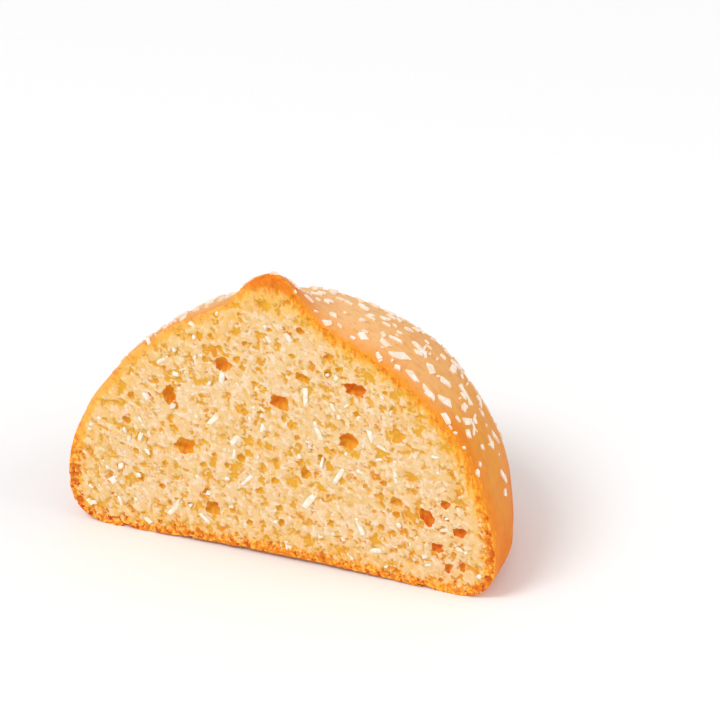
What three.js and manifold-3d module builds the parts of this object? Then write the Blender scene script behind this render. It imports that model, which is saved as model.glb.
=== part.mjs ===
// Half of a coconut cookie: a soft domed cookie with a peaked tip, cut straight down through that tip.
// The browned crust is smooth and carries flakes of coconut. The cut face is a rough crumb with pores
// in it, and short strips of coconut lie in the crumb. It is all one piece of food, so it is one solid.
//
// Lengths are in millimetres and angles in radians. +Z is up and the cookie stands on z = 0. The solid
// is worked out round the cookie's own axis, with the cut through that axis at y = 0 and the kept half
// behind it, so the cut face looks along -Y. Its mesh is then placed with the middle of the half over
// the origin.

import * as THREE from 'three';
import { mergeVertices } from 'three/addons/utils/BufferGeometryUtils.js';
import Module from 'manifold-3d';

const wasm = await Module();
wasm.setup();

// The dome.
const RADIUS = 27.5;
const WIDEST_HEIGHT = 4.3;
const DOME_HEIGHT = 33.3;
const DOME_FULLNESS = 1.9;
const TIP_HEIGHT = 5.2;
const TIP_SPREAD = 4.75;
const FOOT_RADIUS = 22.5;
const HOLLOW_RADIUS = 19.5;
const HOLLOW_DEPTH = 0.6;

// How uneven it is. The baked tip nods to +X by LEAN, the more so the higher a point lies, and the
// shoulder below it is fuller on that side, most at three quarters of the height. The dome also lies
// a little off the middle that the pores and strips are measured from.
const FULL_HEIGHT = 36;
const LEAN = 1.4;
const LEAN_RISE = 5;
const SHOULDER = 2.2;
const SHOULDER_RISE = 2.45;
const OFF_CENTRE = 0.3;
const SWELL = 0.16;

// The faces that the dome is worked out with.
const SIDES = 56;
const DOME_STEPS = 17;
const EDGE_STEPS = 4;

// The cut face, and the block that is kept behind it.
const FACE_STEP = 1.5;
const FACE_ROUGHNESS = 0.32;
const BLOCK = new THREE.Vector3(64, 40, 46);
const BLOCK_BELOW_FLOOR = 3;

// Flakes of coconut on the crust: as many on a whole cookie, none below a height, and the finest
// ones left out.
const FLAKES_ON_WHOLE_COOKIE = 600;
const FLAKE_THICKNESS = 0.45;
const FLAKE_LIFT = 0.1;
const LOWEST_FLAKE = 8;
const ALL_FLAKES_ABOVE = 16;
const SMALLEST_FLAKE = 0.9;

// The cut face also has small pores, one in each cell of a grid, and strips of coconut in it.
const SMALL_PORE_CELL = 4.1;
const PORE_CLEARANCE = 2.4;
const RIM_WITHOUT_PORES = 2.5;
const STRIP_THICKNESS = 0.5;
const STRIP_SET_BACK = 0.05;

// Where the mesh goes, so that the origin lies under the middle of the half.
const AXIS_X = -0.34;
const CUT_Y = -13.64;

const GOLDEN_ANGLE = Math.PI * (3 - Math.sqrt(5));

// The large pores of the cut face: across and up from the foot of the axis, then how wide and high.
const LARGE_PORES = [
  { x: -5.0, z: 25.4, wide: 2.1, high: 2.0 },
  { x: -12.5, z: 20.0, wide: 1.7, high: 2.6 },
  { x: -11.0, z: 13.2, wide: 2.6, high: 2.2 },
  { x: -4.8, z: 21.3, wide: 1.7, high: 1.8 },
  { x: 1.9, z: 21.8, wide: 2.5, high: 2.0 },
  { x: 5.1, z: 25.6, wide: 2.1, high: 1.2 },
  { x: 11.6, z: 25.3, wide: 2.8, high: 1.8 },
  { x: 8.6, z: 29.0, wide: 1.4, high: 1.0 },
  { x: 3.3, z: 19.0, wide: 1.7, high: 1.6 },
  { x: 10.3, z: 18.2, wide: 2.5, high: 2.2 },
  { x: 0.8, z: 13.4, wide: 1.5, high: 2.2 },
  { x: 4.5, z: 12.7, wide: 1.3, high: 1.6 },
  { x: -8.1, z: 5.3, wide: 2.0, high: 2.0 },
  { x: -12.4, z: 8.6, wide: 2.1, high: 1.2 },
  { x: 19.7, z: 9.9, wide: 1.7, high: 2.5 },
  { x: 20.7, z: 5.9, wide: 1.6, high: 1.4 },
  { x: 22.0, z: 12.1, wide: 1.2, high: 1.2 },
  { x: -1.6, z: 9.0, wide: 1.7, high: 1.4 },
  { x: -12.2, z: 15.5, wide: 1.5, high: 1.4 },
  { x: 16.4, z: 20.2, wide: 3.0, high: 2.3 },
  { x: -0.5, z: 25.6, wide: 1.8, high: 1.2 },
  { x: 15.9, z: 11.2, wide: 1.6, high: 1.2 },
];

// The strips of coconut that show best in it: the same, then how long and wide, and the turn from
// upright towards +X in degrees.
const LARGE_STRIPS = [
  { x: -5.4, z: 23.5, long: 2.0, wide: 0.8, turn: 10 },
  { x: 5.2, z: 23.1, long: 2.6, wide: 0.8, turn: 0 },
  { x: 6.4, z: 18.9, long: 2.7, wide: 0.7, turn: -18 },
  { x: 13.2, z: 19.6, long: 2.4, wide: 0.9, turn: -16 },
  { x: 16.0, z: 15.3, long: 3.3, wide: 0.7, turn: 4 },
  { x: -3.6, z: 9.8, long: 3.8, wide: 0.6, turn: 43 },
  { x: 4.9, z: 9.2, long: 3.4, wide: 1.0, turn: 33 },
  { x: 11.0, z: 6.7, long: 2.9, wide: 0.7, turn: -14 },
  { x: 12.5, z: 3.7, long: 2.4, wide: 0.7, turn: 76 },
  { x: -13.3, z: 4.2, long: 3.0, wide: 0.8, turn: 37 },
  { x: 8.7, z: 13.2, long: 3.0, wide: 0.7, turn: 32 },
  { x: -16.6, z: 15.4, long: 2.0, wide: 0.5, turn: -27 },
  { x: -13.0, z: 24.5, long: 2.0, wide: 0.6, turn: 55 },
  { x: -7.0, z: 17.6, long: 2.0, wide: 0.9, turn: 41 },
  { x: -4.3, z: 15.5, long: 1.9, wide: 0.8, turn: 45 },
  { x: -21.0, z: 6.5, long: 1.7, wide: 1.0, turn: 52 },
];

// The flakes of coconut that show best on the crust: the angle round the axis from +X, the place u on
// the dome's outline, how long and wide, and the turn in degrees from level towards the tip.
const LARGE_FLAKES = [
  { angle: 1.9, u: 1.48, long: 1.3, wide: 1.0, turn: 20 },
  { angle: 0.63, u: 1.38, long: 1.6, wide: 1.2, turn: 70 },
  { angle: 0.25, u: 1.17, long: 1.3, wide: 1.3, turn: -49 },
  { angle: 0.30, u: 1.08, long: 1.8, wide: 1.1, turn: 62 },
  { angle: 0.23, u: 1.01, long: 3.0, wide: 1.3, turn: -49 },
  { angle: 0.43, u: 1.03, long: 2.2, wide: 0.6, turn: 90 },
  { angle: 0.12, u: 0.93, long: 2.2, wide: 1.0, turn: 62 },
  { angle: 0.10, u: 0.84, long: 2.3, wide: 0.9, turn: 87 },
  { angle: 0.15, u: 0.76, long: 2.4, wide: 1.2, turn: -60 },
  { angle: 0.37, u: 0.66, long: 3.6, wide: 0.9, turn: 40 },
  { angle: 0.31, u: 0.79, long: 1.9, wide: 1.4, turn: -88 },
  { angle: 0.33, u: 0.86, long: 2.3, wide: 1.1, turn: 25 },
  { angle: 0.05, u: 0.72, long: 1.9, wide: 1.0, turn: 75 },
  { angle: 0.19, u: 0.63, long: 2.3, wide: 0.9, turn: -36 },
  { angle: 0.13, u: 0.60, long: 1.4, wide: 1.0, turn: 46 },
  { angle: 0.43, u: 0.41, long: 3.2, wide: 1.0, turn: -57 },
  { angle: 0.30, u: 0.29, long: 2.6, wide: 0.9, turn: -54 },
];

// A number from 0 to 1 that looks drawn by chance and is always the same for the same n and k.
function draw(n, k) {
  const value = Math.sin(n * 12.9898 + k * 78.233) * 43758.5453;
  return value - Math.floor(value);
}

function smoothStep(low, high, value) {
  const t = Math.min(Math.max((value - low) / (high - low), 0), 1);
  return t * t * (3 - 2 * t);
}

// The dome's outline above its widest height, from u = 0 at the side to u = PI / 2 at the tip.
function domeOutline(u) {
  const power = 2 / DOME_FULLNESS;
  const radius = RADIUS * Math.cos(u) ** power;
  const rise = (DOME_HEIGHT - WIDEST_HEIGHT) * Math.sin(u) ** power;
  const tip = TIP_HEIGHT * Math.exp(-((radius / TIP_SPREAD) ** 2));
  return new THREE.Vector2(u < Math.PI / 2 ? radius : 0, WIDEST_HEIGHT + rise + tip);
}

// The whole outline from the middle of the underside, over the foot and the rounded edge, to the tip.
function cookieOutline() {
  const outline = [
    new THREE.Vector2(0, HOLLOW_DEPTH),
    new THREE.Vector2(HOLLOW_RADIUS * 0.55, HOLLOW_DEPTH * 0.7),
    new THREE.Vector2(HOLLOW_RADIUS, 0),
  ];
  for (let i = 0; i < EDGE_STEPS; i++) {
    const t = (i / EDGE_STEPS) * (Math.PI / 2);
    const radius = FOOT_RADIUS + (RADIUS - FOOT_RADIUS) * Math.sin(t);
    outline.push(new THREE.Vector2(radius, WIDEST_HEIGHT * (1 - Math.cos(t))));
  }
  for (let i = 0; i <= DOME_STEPS; i++) {
    outline.push(domeOutline((i / DOME_STEPS) * (Math.PI / 2)));
  }
  return outline;
}

// Low swells of the crust, as the dough rose: a few millimetres apart and a fraction of one high.
function swell(p) {
  const broad = Math.sin(0.33 * p.x + 1.1) * Math.sin(0.29 * p.y + 0.4) * Math.cos(0.31 * p.z);
  const close = Math.sin(0.71 * p.x + 0.35 * p.z) * Math.cos(0.64 * p.y - 0.22 * p.x + 2.0);
  return SWELL * (1.4 * broad + close);
}

// Turns a point of the true dome into one of the uneven cookie. The foot stays flat on z = 0.
function unevenCookie(p) {
  const height = Math.max(p.z, 0) / FULL_HEIGHT;
  const radius = Math.max(Math.hypot(p.x, p.y), 0.001);
  const fuller = Math.sin(Math.PI * Math.min(height, 1) ** SHOULDER_RISE);
  const grow = 1 + ((p.x / radius) * SHOULDER * fuller) / RADIUS;
  const risen = smoothStep(0.2, 4, p.z) * swell(p);
  const outward = grow + (risen * smoothStep(0, 6, radius)) / radius;
  const aside = OFF_CENTRE + LEAN * Math.min(height, 1.1) ** LEAN_RISE;
  return new THREE.Vector3(p.x * outward + aside, p.y * outward, p.z + risen * smoothStep(8, 0, radius));
}

// The uneven crust at an angle round the axis and a place u on the dome's outline.
function crustPoint(angle, u) {
  const onOutline = domeOutline(u);
  const x = onOutline.x * Math.cos(angle);
  const y = onOutline.x * Math.sin(angle);
  return unevenCookie(new THREE.Vector3(x, y, onOutline.y));
}

// Stands a shape on the crust there: its X runs level round the dome, its Y up to the tip and its Z out.
function crustPlacement(angle, u) {
  const step = 0.01;
  const level = crustPoint(angle + step, u).sub(crustPoint(angle - step, u)).normalize();
  const slope = crustPoint(angle, u + step).sub(crustPoint(angle, u - step));
  const out = level.clone().cross(slope).normalize();
  const up = out.clone().cross(level);
  return new THREE.Matrix4().makeBasis(level, up, out).setPosition(crustPoint(angle, u));
}

function movePoints(geometry, move) {
  const position = geometry.attributes.position;
  const point = new THREE.Vector3();
  for (let i = 0; i < position.count; i++) {
    point.fromBufferAttribute(position, i);
    const moved = move(point);
    position.setXYZ(i, moved.x, moved.y, moved.z);
  }
  return geometry;
}

function bareGeometry(geometry) {
  geometry.deleteAttribute('normal');
  geometry.deleteAttribute('uv');
  return mergeVertices(geometry);
}

function solid(geometry) {
  const merged = bareGeometry(geometry);
  const vertProperties = new Float32Array(merged.attributes.position.array);
  const triVerts = new Uint32Array(merged.index.array);
  return new wasm.Manifold(new wasm.Mesh({ numProp: 3, vertProperties, triVerts }));
}

function wholeCookie() {
  const dome = new THREE.LatheGeometry(cookieOutline(), SIDES);
  dome.rotateX(Math.PI / 2);
  return solid(movePoints(dome, unevenCookie));
}

// How far the crumb stands proud of the cut (less than 0) or lies behind it (more than 0).
function faceRelief(x, z) {
  const clumps = Math.sin(1.9 * x + 0.7 * z + 0.6) * Math.sin(1.7 * z - 0.5 * x);
  const grains = draw(Math.round(x * 10), Math.round(z * 10)) - 0.5;
  return FACE_ROUGHNESS * (0.6 * clumps + 1.1 * grains);
}

// A block that holds the kept half and more. Its front is the rough face that the knife left.
function keptBlock() {
  const across = Math.round(BLOCK.x / FACE_STEP);
  const up = Math.round(BLOCK.z / FACE_STEP);
  const block = new THREE.BoxGeometry(BLOCK.x, BLOCK.y, BLOCK.z, across, 1, up);
  block.translate(0, BLOCK.y / 2, BLOCK.z / 2 - BLOCK_BELOW_FLOOR);
  return solid(movePoints(block, (p) => {
    const inFront = p.y < BLOCK.y / 2;
    return new THREE.Vector3(p.x, inFront ? faceRelief(p.x, p.z) : p.y, p.z);
  }));
}

// An uneven bubble, as wide, deep and high as given, with its middle a little behind the cut.
function bubble(x, z, wide, high, detail, n) {
  const ball = new THREE.IcosahedronGeometry(0.5, detail);
  const deep = 0.5 * (wide + high);
  movePoints(ball, (p) => {
    const uneven = 1 + 0.35 * (draw(n, Math.round(40 * (p.x + 2 * p.y + 3 * p.z))) - 0.5);
    return new THREE.Vector3(p.x * wide, p.y * deep, p.z * high).multiplyScalar(uneven);
  });
  ball.rotateY(draw(n, 1) * 0.8 - 0.4);
  ball.translate(x, 0.12 * deep, z);
  return solid(ball);
}

// A flake or strip: a thin slip with no two corners cut alike, lying flat in the XY plane.
function slip(long, wide, thick, n) {
  const flat = new THREE.BoxGeometry(long, wide, thick);
  return movePoints(flat, (p) => {
    const corner = (p.x > 0 ? 1 : 0) + (p.y > 0 ? 2 : 0);
    const inX = 1 - 0.28 * draw(n, 10 + corner);
    const inY = 1 - 0.38 * draw(n, 20 + corner);
    return new THREE.Vector3(p.x * inX, p.y * inY, p.z);
  });
}

// A flake lying on the crust, a little sunk into it.
function crustFlake(flake) {
  const shape = slip(flake.long, flake.wide, FLAKE_THICKNESS, flake.seed);
  shape.rotateX(0.3 * (draw(flake.seed, 7) - 0.5));
  shape.rotateZ(THREE.MathUtils.degToRad(flake.turn));
  shape.translate(0, 0, FLAKE_LIFT);
  return solid(shape.applyMatrix4(crustPlacement(flake.angle, flake.u)));
}

// Flakes spread evenly over the dome by the golden angle and then stirred. They get fewer towards the
// foot, and none lies where the knife went or on a large flake.
function scatteredFlakes() {
  const flakes = [];
  for (let n = 0; n < FLAKES_ON_WHOLE_COOKIE; n++) {
    const share = (n + 0.5) / FLAKES_ON_WHOLE_COOKIE;
    const angle = n * GOLDEN_ANGLE + 0.3 * (draw(n, 0) - 0.5);
    const u = Math.min(Math.asin(1 - share) + 0.12 * (draw(n, 2) - 0.5), 1.5);
    const long = 0.9 + 2.6 * draw(n, 3) ** 3;
    const wide = Math.min(0.6 + 0.6 * draw(n, 4), long);
    const flake = { angle, u: Math.max(u, 0.05), long, wide, turn: 360 * draw(n, 6), seed: n };
    if (isWanted(flake) && long * wide > SMALLEST_FLAKE) {
      flakes.push(flake);
    }
  }
  return flakes;
}

function isWanted(flake) {
  const place = crustPoint(flake.angle, flake.u);
  const thinning = smoothStep(LOWEST_FLAKE, ALL_FLAKES_ABOVE, place.z);
  const clear = LARGE_FLAKES.every((large) => {
    return crustPoint(large.angle, large.u).distanceTo(place) > 0.5 * (large.long + flake.long);
  });
  return clear && place.y > 0.5 * flake.long + 0.2 && draw(flake.seed, 5) < thinning;
}

function crustFlakes() {
  const large = LARGE_FLAKES.map((flake, i) => ({ ...flake, seed: 2000 + i }));
  return [...large, ...scatteredFlakes()].map(crustFlake);
}

function crumbStrips() {
  return LARGE_STRIPS.map((strip, n) => {
    const flat = slip(strip.wide, strip.long, STRIP_THICKNESS, 500 + n);
    flat.rotateX(0.16 * (draw(n, 31) - 0.5));
    flat.rotateX(Math.PI / 2);
    flat.rotateY(THREE.MathUtils.degToRad(strip.turn));
    flat.translate(strip.x, STRIP_SET_BACK, strip.z);
    return solid(flat);
  });
}

function largePores() {
  return LARGE_PORES.map((pore, n) => {
    const detail = pore.wide * pore.high > 4 ? 1 : 0;
    return bubble(pore.x, pore.z, pore.wide, pore.high, detail, n);
  });
}

// Whether a place on the cut face is well inside the crust and clear of the large pores and strips.
function isFreeCrumb(x, z) {
  const reach = RADIUS * (1 - (z / DOME_HEIGHT) ** 2) ** 0.5 - RIM_WITHOUT_PORES;
  const taken = [...LARGE_PORES, ...LARGE_STRIPS];
  const clear = taken.every((item) => Math.hypot(item.x - x, item.z - z) > PORE_CLEARANCE);
  return clear && Math.abs(x) < reach && z > RIM_WITHOUT_PORES;
}

function smallPores() {
  const pores = [];
  const columns = Math.floor(RADIUS / SMALL_PORE_CELL);
  const rows = Math.floor(DOME_HEIGHT / SMALL_PORE_CELL);
  for (let row = 0; row < rows; row++) {
    for (let column = -columns; column <= columns; column++) {
      const n = 700 + row * 40 + column;
      const x = (column + 0.8 * (draw(n, 0) - 0.5)) * SMALL_PORE_CELL;
      const z = (row + 0.5 + 0.8 * (draw(n, 1) - 0.5)) * SMALL_PORE_CELL;
      if (isFreeCrumb(x, z)) {
        pores.push(bubble(x, z, 0.8 + 0.6 * draw(n, 2), 0.8 + 0.5 * draw(n, 3), 0, n));
      }
    }
  }
  return pores;
}

function cookieSolid() {
  const domed = wasm.Manifold.union([wholeCookie(), ...crustFlakes()]);
  const cut = domed.intersect(keptBlock());
  const porous = cut.subtract(wasm.Manifold.union([...largePores(), ...smallPores()]));
  return wasm.Manifold.union([porous, ...crumbStrips()]);
}

// The surface of a finished solid as a three.js geometry.
function surface(finished) {
  const mesh = finished.getMesh();
  const geometry = new THREE.BufferGeometry();
  geometry.setAttribute('position', new THREE.BufferAttribute(mesh.vertProperties, 3));
  geometry.setIndex(new THREE.BufferAttribute(mesh.triVerts, 1));
  geometry.computeVertexNormals();
  return geometry;
}

const bakedCrust = new THREE.MeshStandardMaterial({ color: 0xe8ac68, roughness: 0.6, metalness: 0 });

const halfCookie = new THREE.Mesh(surface(cookieSolid()), bakedCrust);
halfCookie.name = 'coconut_cookie_half';
halfCookie.position.set(AXIS_X, CUT_Y, 0);

const cookie = new THREE.Group();
cookie.add(halfCookie);

export default cookie;
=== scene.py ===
# %% [markdown]
# # Half of a coconut cookie
#
# A soft domed cookie with a peaked tip, cut straight down. Three things make it look real: a smooth
# browned crust, a torn and porous crumb on the cut face, and white coconut, as flakes on the crust and
# as strips in the crumb. The packed solid gives the size and the place of everything, so it is loaded
# first and stays as it is. The pieces made here stand in for it.

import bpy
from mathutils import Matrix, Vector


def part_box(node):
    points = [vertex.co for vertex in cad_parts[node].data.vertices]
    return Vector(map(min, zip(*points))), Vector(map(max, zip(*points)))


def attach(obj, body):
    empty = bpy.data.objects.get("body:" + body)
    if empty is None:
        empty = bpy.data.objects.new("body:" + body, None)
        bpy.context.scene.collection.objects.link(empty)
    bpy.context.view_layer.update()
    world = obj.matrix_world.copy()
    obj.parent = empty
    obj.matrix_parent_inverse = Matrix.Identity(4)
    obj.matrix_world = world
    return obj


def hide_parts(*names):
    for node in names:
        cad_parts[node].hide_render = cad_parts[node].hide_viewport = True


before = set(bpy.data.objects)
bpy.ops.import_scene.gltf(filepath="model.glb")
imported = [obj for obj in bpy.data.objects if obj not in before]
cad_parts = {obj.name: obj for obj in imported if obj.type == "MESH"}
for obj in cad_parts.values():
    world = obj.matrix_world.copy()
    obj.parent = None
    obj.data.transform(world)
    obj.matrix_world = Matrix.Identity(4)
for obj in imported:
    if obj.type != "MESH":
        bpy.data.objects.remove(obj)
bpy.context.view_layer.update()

import math

import bpy
import numpy as np
from mathutils import Matrix, Vector

NODE = "coconut_cookie_half"
MM = 0.001
low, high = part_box(NODE)
print("solid:", [round((b - a) / MM, 2) for a, b in zip(low, high)], "mm,",
      len(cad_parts), "node")

# %% [markdown]
# ## The cookie's own measures
#
# The dome is easiest to work out round the cookie's own axis, with the cut through it at y = 0, so
# everything is modelled there in millimetres times `MM` and moved to its place at the end. The shape
# could be copied off the solid's mesh, but that is too coarse for a close look. The sums behind it give
# the same shape at any fineness: the outline is a superellipse with a bell curve on top for the peaked
# tip, and the edge at the foot is a quarter ellipse.

# %% Sizes of the dome
RADIUS = 27.5
WIDEST_HEIGHT = 4.3
DOME_HEIGHT = 33.3
DOME_FULLNESS = 1.9
TIP_HEIGHT = 5.2
TIP_SPREAD = 4.75
FOOT_RADIUS = 22.5
HOLLOW_RADIUS = 19.5
HOLLOW_DEPTH = 0.6
FULL_HEIGHT = 36
LEAN = 1.4
LEAN_RISE = 5
SHOULDER = 2.2
SHOULDER_RISE = 2.45
OFF_CENTRE = 0.3
SWELL = 0.16
AXIS_X = -0.34
CUT_Y = -13.64


def smooth_step(start, end, value):
    t = min(max((value - start) / (end - start), 0), 1)
    return t * t * (3 - 2 * t)


def dome_outline(u):
    """Radius and height of the outline, from u = 0 at the widest ring to pi / 2 at the tip."""
    power = 2 / DOME_FULLNESS
    radius = RADIUS * math.cos(u) ** power if u < math.pi / 2 else 0
    rise = (DOME_HEIGHT - WIDEST_HEIGHT) * math.sin(u) ** power
    tip = TIP_HEIGHT * math.exp(-((radius / TIP_SPREAD) ** 2))
    return radius, WIDEST_HEIGHT + rise + tip


def swell(x, y, z):
    """Low swells of the crust, as the dough rose."""
    broad = math.sin(0.33 * x + 1.1) * math.sin(0.29 * y + 0.4) * math.cos(0.31 * z)
    close = math.sin(0.71 * x + 0.35 * z) * math.cos(0.64 * y - 0.22 * x + 2.0)
    return SWELL * (1.4 * broad + close)


def uneven_cookie(x, y, z):
    """Turns a point of the true dome into one of the uneven cookie, whose foot stays flat."""
    height = max(z, 0) / FULL_HEIGHT
    radius = max(math.hypot(x, y), 0.001)
    fuller = math.sin(math.pi * min(height, 1) ** SHOULDER_RISE)
    grow = 1 + (x / radius) * SHOULDER * fuller / RADIUS
    risen = smooth_step(0.2, 4, z) * swell(x, y, z)
    outward = grow + risen * smooth_step(0, 6, radius) / radius
    aside = OFF_CENTRE + LEAN * min(height, 1.1) ** LEAN_RISE
    return Vector((x * outward + aside, y * outward, z + risen * smooth_step(8, 0, radius)))


def crust_point(angle, u):
    """A point of the crust, by its angle round the axis and its place u on the outline."""
    radius, z = dome_outline(max(u, 0))
    return uneven_cookie(radius * math.cos(angle), radius * math.sin(angle), z)


tallest = max(crust_point(0, math.pi / 2 - step / 200).z for step in range(40))
print("top of the crust:", round(tallest, 2), "mm, solid:", round(high[2] / MM, 2), "mm")

# %% [markdown]
# ## Camera
#
# A long lens from half a metre away, 27 degrees to the right of the cut face and 31 degrees above it.
# The picture frame is square, and the cut face isn't in its middle. A lens shift could place it, but
# would stay on when the camera looks from elsewhere, so the camera is slid sideways and up instead.

# %% Make the camera
FRAME_PIXELS = 720
FOCAL_PIXELS = 4340
SENSOR_WIDTH = 36
CAMERA_AZIMUTH = math.radians(26.76)
CAMERA_ELEVATION = math.radians(30.79)
CAMERA_ROLL = math.radians(-4.09)
CAMERA_DISTANCE = 500
AIM_POINT = Vector((0, 0, 15))
AIM_PIXEL = (268.7, 449.9)


def camera_axes():
    flat = math.cos(CAMERA_ELEVATION)
    back = Vector((math.sin(CAMERA_AZIMUTH) * flat, -math.cos(CAMERA_AZIMUTH) * flat,
                   math.sin(CAMERA_ELEVATION)))
    level = Vector((math.cos(CAMERA_AZIMUTH), math.sin(CAMERA_AZIMUTH), 0))
    turn = Matrix.Rotation(CAMERA_ROLL, 3, back)
    return turn @ level, turn @ back.cross(level), back


def to_part(point):
    """From the cookie's own axis, in millimetres, to the part's frame, in metres."""
    return (Vector(point) + Vector((AXIS_X, CUT_Y, 0))) * MM


right, up, back = camera_axes()
per_pixel = CAMERA_DISTANCE / FOCAL_PIXELS
slide_right = (AIM_PIXEL[0] - FRAME_PIXELS / 2) * per_pixel
slide_up = (FRAME_PIXELS / 2 - AIM_PIXEL[1]) * per_pixel
eye = AIM_POINT + back * CAMERA_DISTANCE - right * slide_right - up * slide_up

bpy.ops.object.camera_add()
camera = bpy.context.object
camera.name = "camera"
camera.data.sensor_width = SENSOR_WIDTH
camera.data.lens = SENSOR_WIDTH * FOCAL_PIXELS / FRAME_PIXELS
camera.data.clip_start = 0.01
camera.data.clip_end = 10
camera.matrix_world = (Matrix.Translation(to_part(eye))
                       @ Matrix((right, up, back)).transposed().to_4x4())
bpy.context.scene.camera = camera
print("lens:", round(camera.data.lens, 1), "mm")

# %% [markdown]
# ## Floor and light
#
# The floor is a plain white sheet. A large soft box stands above and in front, so that every pore has
# a shaded upper lip. A wide, weaker one lights the crust from the right, and a white surround fills
# the rest. Harder lamps would show the relief better, but such a cookie looks soft in soft light. The
# colours are shown as they are, without a film look.

# %% Floor, surround and lamps
FLOOR_WIDTH = 6
FLOOR_COLOUR = (0.93, 0.93, 0.93, 1)
FLOOR_ROUGHNESS = 0.9
SURROUND_STRENGTH = 0.65
LAMP_AIM = (0, 0, 0.015)
LAMPS = [
    # name, place, width, watts
    ("key_light", (-0.25, -0.45, 0.75), 0.4, 3.7),
    ("side_light", (0.8, 0.1, 0.5), 0.6, 2.2),
]


def srgb(red, green, blue):
    """A colour read off a picture, 0 to 255, as the linear colour that a shader wants."""
    def linear(value):
        value /= 255
        return value / 12.92 if value <= 0.04045 else ((value + 0.055) / 1.055) ** 2.4
    return (linear(red), linear(green), linear(blue), 1.0)


def soft_box(name, place, width, watts):
    bpy.ops.object.light_add(type="AREA", location=place)
    lamp = bpy.context.object
    lamp.name = name
    lamp.data.shape = "DISK"
    lamp.data.size = width
    lamp.data.energy = watts
    aim = Vector(LAMP_AIM) - Vector(place)
    lamp.rotation_euler = aim.to_track_quat("-Z", "Y").to_euler()


bpy.ops.object.select_all(action="DESELECT")
bpy.ops.mesh.primitive_plane_add(size=FLOOR_WIDTH, location=(0, 0, 0))
floor = bpy.context.object
floor.name = "floor"
white_sheet = bpy.data.materials.new("white_sheet")
white_sheet.use_nodes = True
shader = white_sheet.node_tree.nodes["Principled BSDF"]
shader.inputs["Base Color"].default_value = FLOOR_COLOUR
shader.inputs["Roughness"].default_value = FLOOR_ROUGHNESS
floor.data.materials.append(white_sheet)

for lamp in LAMPS:
    soft_box(*lamp)
surround = bpy.data.worlds.new("white_surround")
surround.use_nodes = True
background = surround.node_tree.nodes["Background"]
background.inputs["Color"].default_value = (1, 1, 1, 1)
background.inputs["Strength"].default_value = SURROUND_STRENGTH
bpy.context.scene.world = surround
bpy.context.scene.view_settings.view_transform = "Standard"
bpy.context.scene.view_settings.look = "None"
print("lamps:", [lamp[0] for lamp in LAMPS])

# %% [markdown]
# ## A small kitchen for node recipes
#
# The relief of the crumb and all finishes are node trees. They could be wired by hand in the node
# editor. Here one helper puts nodes in a tree and wires them, so that each recipe reads as a few lines
# of sums. Sizes go in as millimetres of the real thing.

# %% Helpers for node trees
class Recipe:
    """Adds nodes to a tree and wires them. Every method returns the socket that holds its result."""

    def __init__(self, tree):
        self.tree = tree

    def node(self, kind, inputs=None, **settings):
        made = self.tree.nodes.new(kind)
        for name, value in settings.items():
            setattr(made, name, value)
        for socket, value in (inputs or {}).items():
            self.feed(made.inputs[socket], value)
        return made

    def feed(self, socket, value):
        if isinstance(value, bpy.types.NodeSocket):
            self.tree.links.new(value, socket)
        else:
            socket.default_value = value

    def maths(self, operation, first, second=0.0):
        return self.node("ShaderNodeMath", {0: first, 1: second}, operation=operation).outputs[0]

    def add(self, first, second):
        return self.maths("ADD", first, second)

    def times(self, first, second):
        return self.maths("MULTIPLY", first, second)

    def larger(self, first, second):
        return self.maths("MAXIMUM", first, second)

    def slope(self, value, low, high, start=0.0, end=1.0):
        """Goes smoothly from start to end as value goes from low to high."""
        inputs = {0: value, 1: low, 2: high, 3: start, 4: end}
        return self.node("ShaderNodeMapRange", inputs, interpolation_type="SMOOTHSTEP").outputs[0]

    def noise(self, place, size, detail=2.0, rough=0.5):
        """Clouds about as wide as size millimetres, from 0 to 1."""
        inputs = {"Vector": place, "Scale": 1 / (size * MM), "Detail": detail, "Roughness": rough}
        return self.node("ShaderNodeTexNoise", inputs).outputs[0]

    def swing(self, cloud, reach):
        """Turns a cloud into a distance of up to reach millimetres to either side."""
        return self.times(self.add(cloud, -0.5), reach * MM * 2)

    def cells(self, place, size):
        """Distance from the middle of the nearest cell, about 0 to 1, with cells size mm wide."""
        inputs = {"Vector": place, "Scale": 1 / (size * MM)}
        return self.node("ShaderNodeTexVoronoi", inputs).outputs["Distance"]

    def bubbles(self, place, size, share, widest):
        """Round hollows, one to a cell: 1 inside and 0 between. Some cells have none."""
        inputs = {"Vector": place, "Scale": 1 / (size * MM)}
        cell = self.node("ShaderNodeTexVoronoi", inputs).outputs
        drawn = self.split(cell["Color"])[0]
        radius = self.slope(drawn, 1 - share, 1.0, 0.0, widest / 2)
        return self.slope(self.maths("SUBTRACT", radius, cell["Distance"]), 0.0, 0.22)

    def stir(self, place, size, reach):
        """Moves place about by up to reach millimetres, in clouds about size millimetres wide."""
        inputs = {"Vector": place, "Scale": 1 / (size * MM), "Detail": 2.0}
        cloud = self.node("ShaderNodeTexNoise", inputs).outputs[1]
        inputs = {0: cloud, 1: (2 * reach * MM,) * 3, 2: place}
        return self.node("ShaderNodeVectorMath", inputs, operation="MULTIPLY_ADD").outputs[0]

    def blend(self, amount, first, second):
        """A colour between first, where amount is 0, and second, where it is 1."""
        made = self.node("ShaderNodeMix", data_type="RGBA", clamp_factor=True)
        self.feed(made.inputs[0], amount)
        self.feed(made.inputs[6], first)
        self.feed(made.inputs[7], second)
        return made.outputs[2]

    def split(self, vector):
        return self.node("ShaderNodeSeparateXYZ", {0: vector}).outputs


print("steps of a recipe:", [name for name in vars(Recipe) if not name.startswith("__")])

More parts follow.
